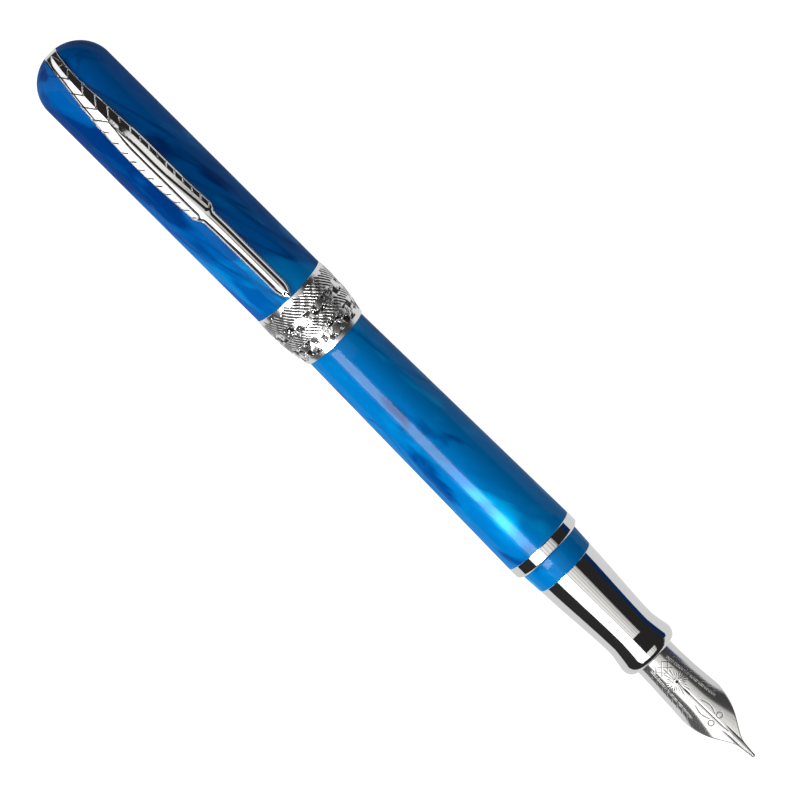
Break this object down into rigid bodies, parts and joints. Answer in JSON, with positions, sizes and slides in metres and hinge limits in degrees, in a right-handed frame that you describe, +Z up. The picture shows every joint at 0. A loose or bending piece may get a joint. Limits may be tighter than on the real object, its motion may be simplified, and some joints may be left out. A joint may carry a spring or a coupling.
{
  "type": "fountain pen",
  "caption": "Converter-filled fountain pen, cap posted on its barrel, with a feather-shaped spring clip, an engraved cap band and a waisted metal grip.",
  "frame": {"origin": "bottom centre of the bounding box of the posted pen lying on its side", "axes": "+X along the pen towards the nib, +Z up through the clip and the top face of the nib, +Y across the pen"},
  "size_m": [0.1652, 0.0142, 0.0159],
  "materials": {
    "cap_resin": "polished marbled blue resin, darker than the barrel",
    "barrel_resin": "polished marbled azure resin with pearly streaks",
    "polished_steel": "mirror polished",
    "engraved_steel": "polished relief with darkened engraving",
    "nib_steel": "polished, with engraved ornament",
    "tip_alloy": "ground smooth",
    "plain_steel": "machined",
    "plated_magnet": "nickel plated",
    "brass": "machined",
    "black_plastic": "fine moulded",
    "clear_plastic": "clear, polished",
    "rubber": "smooth moulded"
  },
  "bodies": {
    "barrel": {"barrel_shell": "barrel_resin", "trim_ring": "polished_steel", "barrel_neck": "barrel_resin", "barrel_bush": "brass", "barrel_magnet_ring": "plated_magnet"},
    "cap": {"cap_shell": "cap_resin", "cap_band": "engraved_steel", "inner_cap": "black_plastic", "cap_magnet_ring": "plated_magnet", "clip_foot": "polished_steel", "clip_screw": "plain_steel"},
    "clip": {"clip_arm": "polished_steel"},
    "section": {"section_grip": "polished_steel", "section_sleeve": "black_plastic", "section_seal": "rubber"},
    "nib_unit": {"nib": "nib_steel", "nib_tip": "tip_alloy", "feed": "black_plastic", "nib_collar": "black_plastic", "feed_nipple": "black_plastic"},
    "converter": {"converter_mouth": "black_plastic", "converter_tube": "clear_plastic", "converter_ferrule": "polished_steel"},
    "knob": {"converter_knob": "black_plastic", "drive_nut": "brass"},
    "piston": {"piston_rod": "black_plastic", "piston_seal": "rubber"}
  },
  "joints": [
    {"name": "cap_slide", "type": "slide", "parent": "barrel", "child": "cap", "axis": [-1, 0, 0], "range_m": [0, 0.04]},
    {"name": "clip_flex", "type": "hinge", "parent": "cap", "child": "clip", "pos_m": [-0.0781, 0, 0.01372], "axis": [0, -1, 0], "range_deg": [0, 4.5], "stiffness_Nm_per_rad": 0.2, "springref_deg": -2.86},
    {"name": "section_unscrew", "type": "slide", "parent": "barrel", "child": "section", "axis": [1, 0, 0], "range_m": [0, 0.078]},
    {"name": "nib_unit_pull", "type": "slide", "parent": "section", "child": "nib_unit", "axis": [1, 0, 0], "range_m": [0, 0.02]},
    {"name": "converter_pull", "type": "slide", "parent": "section", "child": "converter", "axis": [-1, 0, 0], "range_m": [0, 0.0063]},
    {"name": "knob_turn", "type": "hinge", "parent": "converter", "child": "knob", "pos_m": [-0.02, 0, 0.00712], "axis": [1, 0, 0], "range_deg": [0, 1800]},
    {"name": "piston_travel", "type": "slide", "parent": "converter", "child": "piston", "axis": [-1, 0, 0], "range_m": [0, 0.02]}
  ],
  "couplings": [
    {"joint": "knob_turn", "follows": "piston_travel", "rad_per_m": 1570.8}
  ]
}
